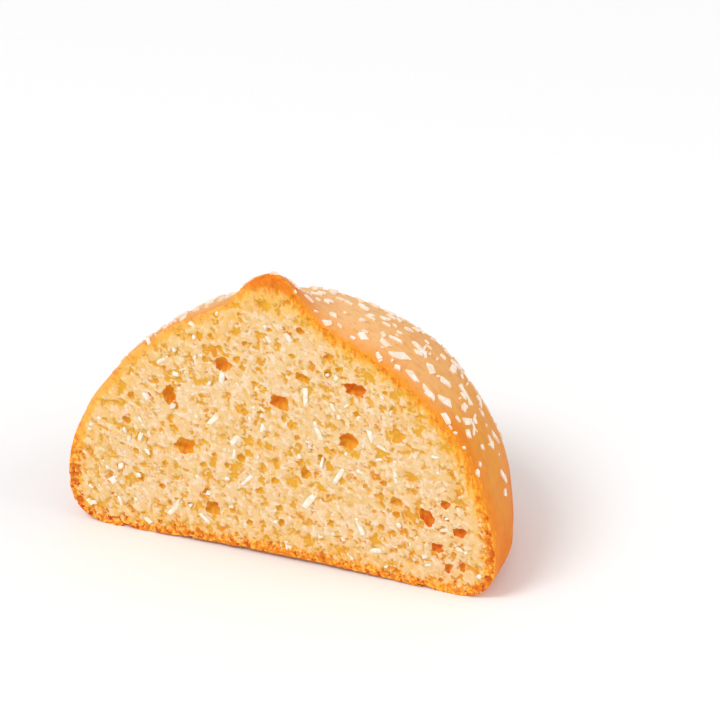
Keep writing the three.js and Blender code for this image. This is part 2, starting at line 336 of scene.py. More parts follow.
# %% Helpers for recipes that change a shape
def keep(recipe, shape, name, value):
    """Writes a value down on every point of the shape, for a finish to read later."""
    inputs = {"Geometry": shape, "Name": name, "Value": value}
    kept = recipe.node("GeometryNodeStoreNamedAttribute", inputs, data_type="FLOAT", domain="POINT")
    return kept.outputs[0]


def new_shape_recipe(name):
    """A Geometry Nodes tree with one shape in and one out."""
    tree = bpy.data.node_groups.new(name, "GeometryNodeTree")
    tree.interface.new_socket("Geometry", in_out="INPUT", socket_type="NodeSocketGeometry")
    tree.interface.new_socket("Geometry", in_out="OUTPUT", socket_type="NodeSocketGeometry")
    recipe = Recipe(tree)
    shape_in = recipe.node("NodeGroupInput").outputs[0]
    shape_out = recipe.node("NodeGroupOutput").inputs[0]
    return recipe, shape_in, shape_out


# %% Helpers for modifiers
def select_only(piece):
    bpy.ops.object.select_all(action="DESELECT")
    piece.select_set(True)
    bpy.context.view_layer.objects.active = piece


def finish_modifier(piece, modifier):
    select_only(piece)
    bpy.ops.object.modifier_apply(modifier=modifier.name)


def apply_recipe(piece, recipe):
    modifier = piece.modifiers.new(recipe.tree.name, "NODES")
    modifier.node_group = recipe.tree
    finish_modifier(piece, modifier)


def count(piece):
    mesh = piece.data
    mesh.calc_loop_triangles()
    return f"{piece.name}: {len(mesh.vertices)} points, {len(mesh.loop_triangles)} triangles"


# %% [markdown]
# ## The dome
#
# A ball could be squashed to this shape, but the peaked tip and the flat foot come out cleaner from a
# section. So one point is pulled along the outline, and that is spun once round the axis. Its points
# are then moved by the same sums that made the solid, which give the lean of the tip, the fuller
# shoulder and the low swells.

# %% Draw the outline and spin it
HOLLOW_STEPS = 14
RING_STEPS = 5
EDGE_STEPS = 12
DOME_STEPS = 96
SPIN_STEPS = 330


def cookie_outline():
    """Points of the section, from the middle of the underside to the tip."""
    points = [(HOLLOW_RADIUS * step / HOLLOW_STEPS, HOLLOW_DEPTH * (1 - (step / HOLLOW_STEPS) ** 2))
              for step in range(HOLLOW_STEPS + 1)]
    points += [(HOLLOW_RADIUS + (FOOT_RADIUS - HOLLOW_RADIUS) * step / RING_STEPS, 0)
               for step in range(1, RING_STEPS)]
    for step in range(EDGE_STEPS):
        t = step / EDGE_STEPS * math.pi / 2
        across = FOOT_RADIUS + (RADIUS - FOOT_RADIUS) * math.sin(t)
        points.append((across, WIDEST_HEIGHT * (1 - math.cos(t))))
    points += [dome_outline(step / DOME_STEPS * math.pi / 2) for step in range(DOME_STEPS + 1)]
    return points


def spin_dome():
    outline = cookie_outline()
    bpy.ops.object.select_all(action="DESELECT")
    bpy.ops.mesh.primitive_plane_add(size=MM, location=(0, 0, 0))
    dome = bpy.context.object
    dome.name = "dome"
    bpy.ops.object.mode_set(mode="EDIT")
    bpy.ops.mesh.merge(type="CENTER")
    bpy.ops.transform.translate(value=(0, 0, outline[0][1] * MM))
    for before, after in zip(outline, outline[1:]):
        pull = ((after[0] - before[0]) * MM, 0, (after[1] - before[1]) * MM)
        bpy.ops.mesh.extrude_vertices_move(TRANSFORM_OT_translate={"value": pull})
    bpy.ops.mesh.select_all(action="SELECT")
    bpy.ops.mesh.spin(steps=SPIN_STEPS, angle=2 * math.pi, center=(0, 0, 0), axis=(0, 0, 1))
    bpy.ops.mesh.select_all(action="SELECT")
    bpy.ops.mesh.remove_doubles(threshold=MM / 1000)
    bpy.ops.mesh.normals_make_consistent(inside=False)
    bpy.ops.object.mode_set(mode="OBJECT")
    return dome


dome = spin_dome()
for vertex in dome.data.vertices:
    vertex.co = uneven_cookie(*(vertex.co / MM)) * MM
print(count(dome))

# %% [markdown]
# ## The crust's own relief
#
# The baked skin is smooth but not like plastic: it has shallow dimples a couple of millimetres across.
# The underside sat on a tray, so it is flat with small open pits. They could be sculpted, but a
# Geometry Nodes recipe does it evenly and the same each time. It moves each point along its normal, and
# the foot ring stays on the floor because nothing there moves down.

# %% Dimple the crust
SKIN_DIMPLE = 0.05
BASE_PIT = 0.22


def dimple_crust(piece):
    recipe, shape_in, shape_out = new_shape_recipe("crust_relief")
    place = recipe.node("GeometryNodeInputPosition").outputs[0]
    normal = recipe.node("GeometryNodeInputNormal").outputs[0]
    height = recipe.split(place)[2]
    dimple = recipe.swing(recipe.noise(place, 2.2, 3.0), SKIN_DIMPLE)
    on_skin = recipe.slope(height, 1.5 * MM, 5 * MM)
    pits = recipe.slope(recipe.noise(place, 1.3, 3.0, 0.6), 0.54, 0.64, 0.0, -BASE_PIT * MM)
    on_base = recipe.times(recipe.slope(height, 0.5 * MM, 2.2 * MM, 1.0, 0.0),
                           recipe.slope(recipe.split(place)[1], 0.6 * MM, 3 * MM, 0.15, 1.0))
    move = recipe.add(recipe.times(dimple, on_skin), recipe.times(pits, on_base))
    offset = recipe.node("ShaderNodeVectorMath", {0: normal}, operation="SCALE")
    recipe.feed(offset.inputs["Scale"], move)
    inputs = {"Geometry": shape_in, "Offset": offset.outputs[0]}
    moved = recipe.node("GeometryNodeSetPosition", inputs)
    recipe.feed(shape_out, moved.outputs[0])
    apply_recipe(piece, recipe)


dimple_crust(dome)
lowest = min(vertex.co.z for vertex in dome.data.vertices)
print("lowest point of the dome:", round(lowest / MM, 3), "mm")

# %% [markdown]
# ## The block behind the knife
#
# The cut face is where nearly all the character is. The dome could simply be cut in two and its cut
# face subdivided, but that wastes points on the crust. So a dense grid is stood upright and pulled back
# into a block, and what lies in both the block and the dome is kept in the end.

# %% Stand up a dense grid and pull it into a block
FACE_STEP = 0.165
BLOCK_HALF_WIDTH = 29.5
BLOCK_HEIGHT = 40.5
BLOCK_BELOW_FOOT = 1
BLOCK_DEPTH = 35


def dense_block():
    across = round(2 * BLOCK_HALF_WIDTH / FACE_STEP)
    tall = round(BLOCK_HEIGHT / FACE_STEP)
    bpy.ops.object.select_all(action="DESELECT")
    bpy.ops.mesh.primitive_grid_add(x_subdivisions=across, y_subdivisions=tall, size=2)
    block = bpy.context.object
    block.name = "cookie_half"
    bpy.ops.object.mode_set(mode="EDIT")
    bpy.ops.transform.resize(value=(BLOCK_HALF_WIDTH * MM, BLOCK_HEIGHT / 2 * MM, 1))
    bpy.ops.transform.rotate(value=math.pi / 2, orient_axis="X", center_override=(0, 0, 0))
    bpy.ops.transform.translate(value=(0, 0, (BLOCK_HEIGHT / 2 - BLOCK_BELOW_FOOT) * MM))
    bpy.ops.mesh.extrude_region_move(TRANSFORM_OT_translate={"value": (0, BLOCK_DEPTH * MM, 0)})
    bpy.ops.mesh.select_all(action="SELECT")
    bpy.ops.mesh.normals_make_consistent(inside=False)
    bpy.ops.object.mode_set(mode="OBJECT")
    return block


cookie = dense_block()
print(count(cookie))

# %% [markdown]
# ## The torn crumb
#
# A knife tears a soft crumb more than it cuts it. Broad clumps stand forward, a fine grain lies over
# them, and creases run between granules a millimetre wide. The small pits are of two kinds: round
# hollows, one to a cell of a stirred pattern, and ragged tears, which are clouds cut off at a
# threshold. A bump map could fake this, but only real depth holds a shadow from any side. How deep a
# point lies in a pit or crease is written down on it for the finish. Near the foot the pits fade out,
# which leaves the lower edge whole.

# %% Tear the crumb
CLUMP = 0.14
GRAIN = 0.07
GRANULE = 0.15
PIT_DEPTH = 0.21
FINE_PIT_DEPTH = 0.1


def tear_crumb(piece):
    recipe, shape_in, shape_out = new_shape_recipe("torn_crumb")
    place = recipe.node("GeometryNodeInputPosition").outputs[0]
    _, behind, height = recipe.split(place)
    front = recipe.slope(behind, 0.0, 1 * MM, 1.0, 0.0)
    clumps = recipe.swing(recipe.noise(place, 3.5, 2.0), CLUMP)
    grain = recipe.swing(recipe.noise(place, 0.6, 3.0, 0.75), GRAIN)
    from_granule = recipe.cells(recipe.stir(place, 0.9, 0.5), 0.85)
    crease = recipe.times(from_granule, from_granule)
    above_foot = recipe.slope(height, 0.4 * MM, 1.8 * MM)
    stirred = recipe.stir(place, 0.9, 1.1)
    holes = recipe.bubbles(stirred, 1.25, 0.55, 1.1)
    tears = recipe.slope(recipe.noise(stirred, 1.45, 3.0, 0.6), 0.52, 0.64)
    wide = recipe.larger(holes, tears)
    fine = recipe.bubbles(recipe.stir(place, 0.45, 0.75), 0.6, 0.75, 1.2)
    depth = recipe.add(recipe.times(wide, PIT_DEPTH * MM), recipe.times(fine, FINE_PIT_DEPTH * MM))
    uneven = recipe.add(recipe.add(clumps, grain), recipe.times(crease, GRANULE * MM))
    back = recipe.add(uneven, recipe.times(depth, above_foot))
    offset = recipe.node("ShaderNodeCombineXYZ", {1: recipe.times(back, front)}).outputs[0]
    pit = recipe.larger(wide, recipe.times(fine, 0.65))
    kept = keep(recipe, shape_in, "pit", recipe.times(pit, above_foot))
    kept = keep(recipe, kept, "crease", crease)
    moved = recipe.node("GeometryNodeSetPosition", {"Geometry": kept, "Offset": offset})
    recipe.feed(shape_out, moved.outputs[0])
    apply_recipe(piece, recipe)


tear_crumb(cookie)
relief = [vertex.co.y / MM for vertex in cookie.data.vertices if vertex.co.y < BLOCK_DEPTH / 2 * MM]
print("relief of the crumb:", round(min(relief), 2), "to", round(max(relief), 2), "mm")

# %% [markdown]
# ## Pores
#
# Gas left round bubbles in the dough, from under a millimetre to three across, and the knife opened
# those that it met. All could be left to chance, but the large ones give a cut its own look. So these
# are listed one by one: open ones, browned ones mostly low on the right, shallow ones, and notches
# along the lower edge. Medium ones fill in between by a rule.

# %% Where the large pores are
LARGE_PORES = [
    # across, up, wide, high
    (-5.0, 25.4, 2.1, 2.0), (-12.5, 20.0, 1.7, 2.6), (-11.0, 13.2, 2.6, 2.2), (1.9, 21.8, 2.5, 2.0),
    (5.1, 25.6, 2.1, 1.2), (8.6, 29.0, 1.4, 1.0), (10.3, 18.2, 2.5, 2.2),
    (4.5, 12.7, 1.3, 1.6), (-8.1, 5.3, 2.0, 2.0), (15.9, 11.2, 1.6, 1.2),
]
BROWNED_PORES = [
    (11.6, 25.3, 2.8, 1.8), (19.7, 9.9, 1.7, 2.5), (20.7, 5.9, 1.6, 1.4), (22.0, 12.1, 1.2, 1.2),
    (23.6, 8.6, 1.7, 1.3), (21.9, 3.4, 0.9, 1.4), (23.7, 3.9, 0.8, 1.3),
]
SHALLOW_PORES = [
    (-4.8, 21.3, 1.7, 1.8), (3.3, 19.0, 1.7, 1.6), (0.8, 13.4, 1.5, 2.2), (-12.4, 8.6, 2.1, 1.2),
    (-1.6, 9.0, 1.7, 1.4), (-12.2, 15.5, 1.5, 1.4), (16.4, 20.2, 3.0, 2.3), (-0.5, 25.6, 1.8, 1.2),
]
LOWER_NOTCHES = [
    (-19.6, 0, 2.2, 0.9), (-12.4, 0, 3.0, 0.7), (-8.9, 0, 1.8, 0.7), (-3.4, 0, 3.2, 0.9),
    (1.3, 0, 2.0, 0.6), (12.1, 0, 2.6, 0.6), (19.3, 0, 3.0, 0.5),
]
LARGE_STRIPS = [
    # across, up, long, wide, turn from upright towards +X in degrees
    (-5.4, 23.5, 2.0, 0.8, 10), (5.2, 23.1, 2.6, 0.8, 0), (6.4, 18.9, 2.7, 0.7, -18),
    (13.2, 19.6, 2.4, 0.9, -16), (16.0, 15.3, 3.3, 0.7, 4), (-3.6, 9.8, 3.8, 0.6, 43),
    (4.9, 9.2, 3.4, 1.0, 33), (11.0, 6.7, 2.9, 0.7, -14), (12.5, 3.7, 2.4, 0.7, 76),
    (-13.3, 4.2, 3.0, 0.8, 37), (8.7, 13.2, 3.0, 0.7, 32), (-16.6, 15.4, 2.0, 0.5, -27),
    (-13.0, 24.5, 2.0, 0.6, 55), (-7.0, 17.6, 2.0, 0.9, 41), (-4.3, 15.5, 1.9, 0.8, 45),
    (-21.0, 6.5, 1.7, 1.0, 52),
]
hand_placed = LARGE_PORES + BROWNED_PORES + SHALLOW_PORES + LARGE_STRIPS
print("placed by hand:", len(hand_placed), "pores and strips,", len(LOWER_NOTCHES), "notches")

# %% Scatter medium pores between them
PLAIN_RIM = 1.6


def draw(n, k):
    """A number from 0 to 1 that looks drawn by chance and is always the same for n and k."""
    value = math.sin(n * 12.9898 + k * 78.233) * 43758.5453
    return value - math.floor(value)


def reach_at(z):
    """Half the width of the crumb at a height, up to the browned rim."""
    return RADIUS * math.sqrt(max(1 - (z / DOME_HEIGHT) ** 2, 0)) - PLAIN_RIM


def scattered(cell, seed, clearance, taken):
    """Places on the crumb, one to a cell of a grid and stirred, clear of all that is taken."""
    places = []
    for row in range(round(DOME_HEIGHT / cell)):
        for column in range(-round(RADIUS / cell), round(RADIUS / cell) + 1):
            n = seed + row * 97 + column
            x = (column + 0.9 * (draw(n, 0) - 0.5)) * cell
            z = (row + 0.5 + 0.9 * (draw(n, 1) - 0.5)) * cell
            inside = abs(x) < reach_at(z) and z > PLAIN_RIM
            if inside and all(math.hypot(x - spot[0], z - spot[1]) > clearance + 0.5 * spot[2]
                              for spot in taken):
                places.append((x, z, n))
    return places


medium_pores = []
for x, z, n in scattered(cell=3.0, seed=3000, clearance=0.75, taken=hand_placed):
    wide = 0.6 + 0.6 * draw(n, 2)
    if all(math.hypot(x - p[0], z - p[1]) > 0.6 * (wide + p[2]) for p in medium_pores):
        medium_pores.append((x, z, wide, wide * (0.7 + 0.6 * draw(n, 3))))
print("medium pores:", len(medium_pores))

# %% [markdown]
# ## Blow the bubbles and cut them away
#
# Pores could be pressed into the grid as the pits are, but then none could be wider inside than at its
# mouth. So each is a ball pushed out of shape. The middle of an open one lies a little behind the cut,
# and that of a shallow one before it. Each ball carries a number that says how deep its inside counts
# for the finish, and all of them are cut away at once. The seed of each group keeps its draws apart.

# %% Blow the bubbles
PORE_FINENESS = 4
SMALL_PORE_FINENESS = 3
PORE_DEPTH = 0.42
PORE_LEAN = 0.9
PORE_LUMPS = 0.17


def bubble(x, z, wide, high, seed, fineness, set_back, pit=1.0):
    """A ball pushed out of shape. Its middle lies behind the cut by set_back times its depth."""
    deep = PORE_DEPTH * (wide + high)
    bpy.ops.object.select_all(action="DESELECT")
    bpy.ops.mesh.primitive_ico_sphere_add(subdivisions=fineness, radius=0.5 * MM)
    ball = bpy.context.object
    lean = Matrix.Rotation(PORE_LEAN * (draw(seed, 4) - 0.5), 3, "Y")
    for vertex in ball.data.vertices:
        p = vertex.co / MM
        lump = math.sin(7 * p.x + 9 * draw(seed, 5)) * math.sin(8 * p.z + 9 * draw(seed, 6))
        lump += 0.6 * math.sin(15 * p.x + 6 * p.y + seed) * math.sin(14 * p.z - 7 * p.y)
        p = lean @ Vector((p.x * wide, p.y * deep, p.z * high)) * (1 + PORE_LUMPS * lump)
        vertex.co = (p + Vector((x, set_back * deep, z))) * MM
    inside = ball.data.attributes.new("pit", "FLOAT", "POINT")
    inside.data.foreach_set("value", np.full(len(ball.data.vertices), pit))
    return ball


# %% Cut the bubbles away
BROWNED_PIT = 2.0


def joined(pieces, name):
    bpy.ops.object.select_all(action="DESELECT")
    for piece in pieces:
        piece.select_set(True)
    bpy.context.view_layer.objects.active = pieces[0]
    bpy.ops.object.join()
    pieces[0].name = name
    return pieces[0]


def cut_away(piece, cutter):
    modifier = piece.modifiers.new("cut", "BOOLEAN")
    modifier.operation = "DIFFERENCE"
    modifier.solver = "MANIFOLD"
    modifier.object = cutter
    finish_modifier(piece, modifier)
    bpy.data.objects.remove(cutter)


crumb_finish = bpy.data.materials.new("open_crumb")
cookie.data.materials.append(crumb_finish)
balls = [bubble(*pore, 100 + n, PORE_FINENESS, set_back=0.16 * draw(n, 8))
         for n, pore in enumerate(LARGE_PORES)]
balls += [bubble(*pore, 700 + n, PORE_FINENESS, set_back=0.1, pit=BROWNED_PIT)
          for n, pore in enumerate(BROWNED_PORES)]
balls += [bubble(*pore, 200 + n, PORE_FINENESS, set_back=-0.3)
          for n, pore in enumerate(SHALLOW_PORES)]
balls += [bubble(*notch, 300 + n, SMALL_PORE_FINENESS, set_back=0)
          for n, notch in enumerate(LOWER_NOTCHES)]
balls += [bubble(*pore, 400 + n, SMALL_PORE_FINENESS, set_back=0.3 * draw(n, 9) - 0.25)
          for n, pore in enumerate(medium_pores)]
bubbles = joined(balls, "bubbles")
bubbles.data.materials.append(crumb_finish)
cut_away(cookie, bubbles)
print(count(cookie))

# %% [markdown]
# ## Crust and crumb meet
#
# Crust and crumb could be two pieces that touch, but a gap might show along the rim. So the porous
# block keeps only what lies inside the dome. The faces that come from the dome bring the crust's finish
# and those of the block keep the crumb's, and one closed piece has both. How far every point lies below
# the crust is then measured and written down on it, for the browning of the crumb's rim.

# %% Keep what lies in the dome
SHARPEST_SMOOTH = 50
crust_finish = bpy.data.materials.new("browned_crust")
dome.data.materials.append(crust_finish)

modifier = cookie.modifiers.new("keep", "BOOLEAN")
modifier.operation = "INTERSECT"
modifier.solver = "MANIFOLD"
modifier.material_mode = "TRANSFER"
modifier.object = dome
finish_modifier(cookie, modifier)


def measure_from_crust(piece, crust):
    recipe, shape_in, shape_out = new_shape_recipe("depth_below_crust")
    info = recipe.node("GeometryNodeObjectInfo", {"Object": crust}, transform_space="ORIGINAL")
    near = recipe.node("GeometryNodeProximity", {0: info.outputs["Geometry"]}, target_element="FACES")
    recipe.feed(shape_out, keep(recipe, shape_in, "below_crust", near.outputs["Distance"]))
    apply_recipe(piece, recipe)


measure_from_crust(cookie, dome)
bpy.data.objects.remove(dome)
select_only(cookie)
bpy.ops.object.shade_smooth_by_angle(angle=math.radians(SHARPEST_SMOOTH))
print(count(cookie), [material.name for material in cookie.data.materials])

# %% [markdown]
# ## Coconut
#
# Desiccated coconut is cut in thin, flat, irregular slips. A particle system could strew one shape
# about, but all would look the same and their number would be hard to hold. So a dozen different ones
# are modelled, each from a square sheet that is pulled uneven, loses one corner, gets a thickness and a
# smaller upper face, and is curled. Every slip on the cookie is a copy of one of them with its own
# mesh, scaled to its own length.

# %% Model the slips
SLIP_KINDS = 12
SLIP_SIDE = 0.8
SLIP_CROWN = 0.2
SLIP_INSET = 0.13


def model_slip(kind):
    """A slip up to 1 mm long, wide and thick, to be scaled to size."""
    bpy.ops.object.select_all(action="DESELECT")
    bpy.ops.mesh.primitive_plane_add(size=MM)
    slip = bpy.context.object
    for corner, vertex in enumerate(slip.data.vertices):
        n = 50 * kind + corner
        vertex.co.x *= 1 - 0.5 * draw(n, 11)
        vertex.co.y *= 1 - 0.25 * draw(n, 12)
    bpy.ops.object.mode_set(mode="EDIT")
    bpy.ops.mesh.select_all(action="DESELECT")
    bpy.ops.object.mode_set(mode="OBJECT")
    slip.data.vertices[kind % 4].select = True
    bpy.ops.object.mode_set(mode="EDIT")
    bpy.ops.mesh.bevel(affect="VERTICES", offset=(0.18 + 0.14 * draw(kind, 13)) * MM, segments=1)
    bpy.ops.mesh.select_all(action="SELECT")
    bpy.ops.mesh.extrude_region_move(TRANSFORM_OT_translate={"value": (0, 0, SLIP_SIDE * MM)})
    bpy.ops.mesh.inset(thickness=SLIP_INSET * MM, depth=SLIP_CROWN * MM)
    bpy.ops.mesh.select_all(action="SELECT")
    bpy.ops.mesh.normals_make_consistent(inside=False)
    bpy.ops.transform.translate(value=(0, 0, -0.5 * MM))
    bpy.ops.object.mode_set(mode="OBJECT")
    curl = 0.5 * (draw(kind, 14) - 0.3)
    for vertex in slip.data.vertices:
        vertex.co.z += curl * (vertex.co.x / MM) ** 2 * MM
    return slip


slips = [model_slip(kind) for kind in range(SLIP_KINDS)]
print("faces in one slip:", len(slips[0].data.polygons))

# %% Copy a slip to its place
def lay_slip(long, wide, thick, stand, seed):
    """A copy of one slip, scaled and stood at its place by the matrix stand, in millimetres."""
    copy = slips[seed % SLIP_KINDS].copy()
    copy.data = copy.data.copy()
    bpy.context.scene.collection.objects.link(copy)
    size = Matrix.Diagonal((long, wide, thick, 1))
    place = stand.copy()
    place.translation *= MM
    copy.data.transform(place @ size)
    return copy


# %% [markdown]
# ## Flakes on the crust
#
# They were sprinkled on before baking: dense over the top and the flanks, none low down. They could be
# dropped in a simulation, but sticky dough holds them where they fall, also on a steep flank. The ones
# that show best are listed one by one, and the others are placed by the rule that the solid uses, which
# spreads them evenly by the golden angle and then stirs them. The solid leaves out the finest, which
# are here.

# %% Where the large flakes are
LARGE_FLAKES = [
    # angle round the axis, place u on the outline, long, wide, turn from level in degrees
    (1.6, 1.53, 1.2, 1.0, 20),
    (0.63, 1.38, 1.6, 1.2, 70), (0.25, 1.17, 1.3, 1.3, -49), (0.30, 1.08, 1.8, 1.1, 62),
    (0.23, 1.01, 3.0, 1.3, -49), (0.43, 1.03, 2.2, 0.6, 90), (0.12, 0.93, 2.2, 1.0, 62),
    (0.10, 0.84, 2.3, 0.9, 87), (0.15, 0.76, 2.4, 1.2, -60), (0.37, 0.66, 3.6, 0.9, 40),
    (0.31, 0.79, 1.9, 1.4, -88), (0.33, 0.86, 2.3, 1.1, 25), (0.05, 0.72, 1.9, 1.0, 75),
    (0.19, 0.63, 2.3, 0.9, -36), (0.13, 0.60, 1.4, 1.0, 46), (0.43, 0.41, 3.2, 1.0, -57),
    (0.30, 0.29, 2.6, 0.9, -54),
]
print("large flakes:", len(LARGE_FLAKES))

# %% Stand a flake on the crust
FLAKE_THICKNESS = 0.28
FLAKE_LIFT = 0.07
FLAKE_TILT = 0.3


def crust_placement(angle, u):
    """Stands a shape on the crust: its X level round the dome, its Y up to the tip and its Z out."""
    step = 0.01
    level = (crust_point(angle + step, u) - crust_point(angle - step, u)).normalized()
    slope = crust_point(angle, u + step) - crust_point(angle, u - step)
    out = level.cross(slope).normalized()
    stand = Matrix((level, out.cross(level), out)).transposed().to_4x4()
    stand.translation = crust_point(angle, u)
    return stand


def crust_flake(angle, u, long, wide, turn, seed, thick=FLAKE_THICKNESS):
    stand = crust_placement(angle, u)
    stand = stand @ Matrix.Translation((0, 0, FLAKE_LIFT))
    stand = stand @ Matrix.Rotation(math.radians(turn), 4, "Z")
    stand = stand @ Matrix.Rotation(FLAKE_TILT * (draw(seed, 7) - 0.5), 4, "X")
    return lay_slip(long, wide, thick, stand, seed)


# %% Scatter the rest
# As many all round the dome, of which those behind the cut are laid.
FLAKES_ALL_ROUND = 600
SLIVERS_ALL_ROUND = 900
SLIVER_THICKNESS = 0.26
LOWEST_FLAKE = 8
ALL_FLAKES_ABOVE = 16
CUT_CLEARANCE = 0.2
GOLDEN_ANGLE = math.pi * (3 - math.sqrt(5))


def scattered_flakes():
    taken = [(crust_point(angle, u), long) for angle, u, long, _, _ in LARGE_FLAKES]
    flakes = []
    for n in range(FLAKES_ALL_ROUND):
        share = (n + 0.5) / FLAKES_ALL_ROUND
        angle = n * GOLDEN_ANGLE + 0.3 * (draw(n, 0) - 0.5)
        u = min(math.asin(1 - share) + 0.12 * (draw(n, 2) - 0.5), 1.5)
        u = max(u, 0.05)
        long = 0.9 + 2.6 * draw(n, 3) ** 3
        wide = min(0.6 + 0.6 * draw(n, 4), long)
        place = crust_point(angle, u)
        thinning = smooth_step(LOWEST_FLAKE, ALL_FLAKES_ABOVE, place.z)
        clear = all((place - spot).length > 0.5 * (size + long) for spot, size in taken)
        if clear and place.y > 0.5 * long + CUT_CLEARANCE and draw(n, 5) < thinning:
            flakes.append((angle, u, long, wide, 360 * draw(n, 6), n))
    return flakes


def slivers():
    """The finest shreds, too small for the solid: they lie between the flakes and at their edges."""
    shreds = []
    for n in range(SLIVERS_ALL_ROUND):
        share = (n + 0.5) / SLIVERS_ALL_ROUND
        angle = n * GOLDEN_ANGLE + 1.7 + 0.5 * (draw(n, 41) - 0.5)
        u = min(max(math.asin(1 - share) + 0.16 * (draw(n, 42) - 0.5), 0.05), 1.45)
        long = 0.5 + 1.1 * draw(n, 43) ** 2
        place = crust_point(angle, u)
        thinning = smooth_step(LOWEST_FLAKE + 2, ALL_FLAKES_ABOVE + 2, place.z)
        if place.y > 0.5 * long + CUT_CLEARANCE and draw(n, 44) < thinning:
            wide = 0.2 + 0.25 * draw(n, 45)
            shreds.append((angle, u, long, wide, 360 * draw(n, 46), 4000 + n, SLIVER_THICKNESS))
    return shreds


# %% Sprinkle the crust
flakes = [(*flake, 2000 + n) for n, flake in enumerate(LARGE_FLAKES)] + scattered_flakes()
flakes += slivers()
flakes_on_crust = joined([crust_flake(*flake) for flake in flakes], "coconut_flakes_on_crust")
print(len(flakes), "flakes,", count(flakes_on_crust))

# %% [markdown]
# ## Strips in the crumb
#
# The same coconut is mixed into the dough, and the knife and the tear left it lying in the cut face.
# The large strips lie half sunk where they show. Short ones and specks follow the pores' rule, more
# askew. Left plain they look like tiles, and a bevel would keep their sides flat. So one level of
# subdivision softens them, with creases that keep the edges from melting away. It also draws them in
# a little, which is why they are laid larger.

# %% Lay strips in the crumb
STRIP_DEPTH = 0.24
STRIP_THICKNESS = 0.42
STRIP_FLATNESS = 0.8
STRIP_GROWTH = 1.1
STRIP_ASKEW = 0.16
SPECK_ASKEW = 0.9
SPECK_SHARE = 0.6
EDGE_CREASE = 0.7


def crumb_strip(x, z, long, wide, turn, seed, askew=STRIP_ASKEW):
    stand = Matrix.Translation((x, STRIP_DEPTH, z)) @ Matrix.Rotation(math.radians(turn), 4, "Y")
    stand = stand @ Matrix.Rotation(math.pi / 2, 4, "X")
    stand = stand @ Matrix.Rotation(askew * (draw(seed, 31) - 0.5), 4, "X")
    stand = stand @ Matrix.Rotation(2 * askew * (draw(seed, 32) - 0.5), 4, "Y")
    thick = min(STRIP_THICKNESS, STRIP_FLATNESS * wide)
    return lay_slip(STRIP_GROWTH * wide, STRIP_GROWTH * long, thick, stand, seed)


strips = [(*strip, 500 + n) for n, strip in enumerate(LARGE_STRIPS)]
for x, z, n in scattered(cell=4.0, seed=7000, clearance=0.8, taken=hand_placed):
    long = 0.6 + 1.2 * draw(n, 2) ** 2
    wide = min(long, 0.35 + 0.5 * draw(n, 3))
    strips.append((x, z, long, wide, 360 * draw(n, 4), n, SPECK_ASKEW))
for x, z, n in scattered(cell=2.8, seed=9000, clearance=0.4, taken=hand_placed):
    if draw(n, 5) < SPECK_SHARE:
        long = 0.4 + 0.5 * draw(n, 2)
        wide = 0.35 + 0.3 * draw(n, 3)
        strips.append((x, z, long, wide, 360 * draw(n, 4), n, SPECK_ASKEW))
strips_in_crumb = joined([crumb_strip(*strip) for strip in strips], "coconut_strips_in_crumb")
for slip in slips:
    bpy.data.objects.remove(slip)

# %% Soften their edges
creases = strips_in_crumb.data.attributes.new("crease_edge", "FLOAT", "EDGE")
creases.data.foreach_set("value", np.full(len(strips_in_crumb.data.edges), EDGE_CREASE))
soften = strips_in_crumb.modifiers.new("soften", "SUBSURF")
soften.levels = soften.render_levels = 1
finish_modifier(strips_in_crumb, soften)
bpy.ops.object.shade_smooth()
print(len(strips), "strips,", count(strips_in_crumb))

# %% [markdown]
# ## Finish of the crust
#
# Peach-tan on the shoulders, deeper and more orange towards the foot, browned at the tip and orange
# along the cut. Fine upright wrinkles, a mottle and freckles lie over that, and the last millimetre
# before the cut is torn into golden teeth. It could be painted on a picture, but a recipe stays sharp
# at any distance and needs no seams: one colour after another is blended in, each with its own amount.
# The gloss is a soft satin.

# %% Helpers for finishes
def start_finish(material):
    """Returns the recipe, the shader and the place from the foot of the cookie's own axis."""
    material.use_nodes = True
    tree = material.node_tree
    recipe = Recipe(tree)
    shader = tree.nodes["Principled BSDF"]
    spot = recipe.node("ShaderNodeTexCoord").outputs["Object"]
    shift = (-AXIS_X * MM, -CUT_Y * MM, 0)
    place = recipe.node("ShaderNodeMapping", {"Vector": spot, "Location": shift}).outputs[0]
    return recipe, shader, place


def roughen(recipe, shader, height, distance, strength):
    bump = recipe.node("ShaderNodeBump", {"Height": height, "Distance": distance * MM,
                                          "Strength": strength})
    recipe.feed(shader.inputs["Normal"], bump.outputs[0])


def kept_value(recipe, name):
    """A value that was written down on the points of the shape."""
    return recipe.node("ShaderNodeAttribute", attribute_name=name).outputs["Fac"]


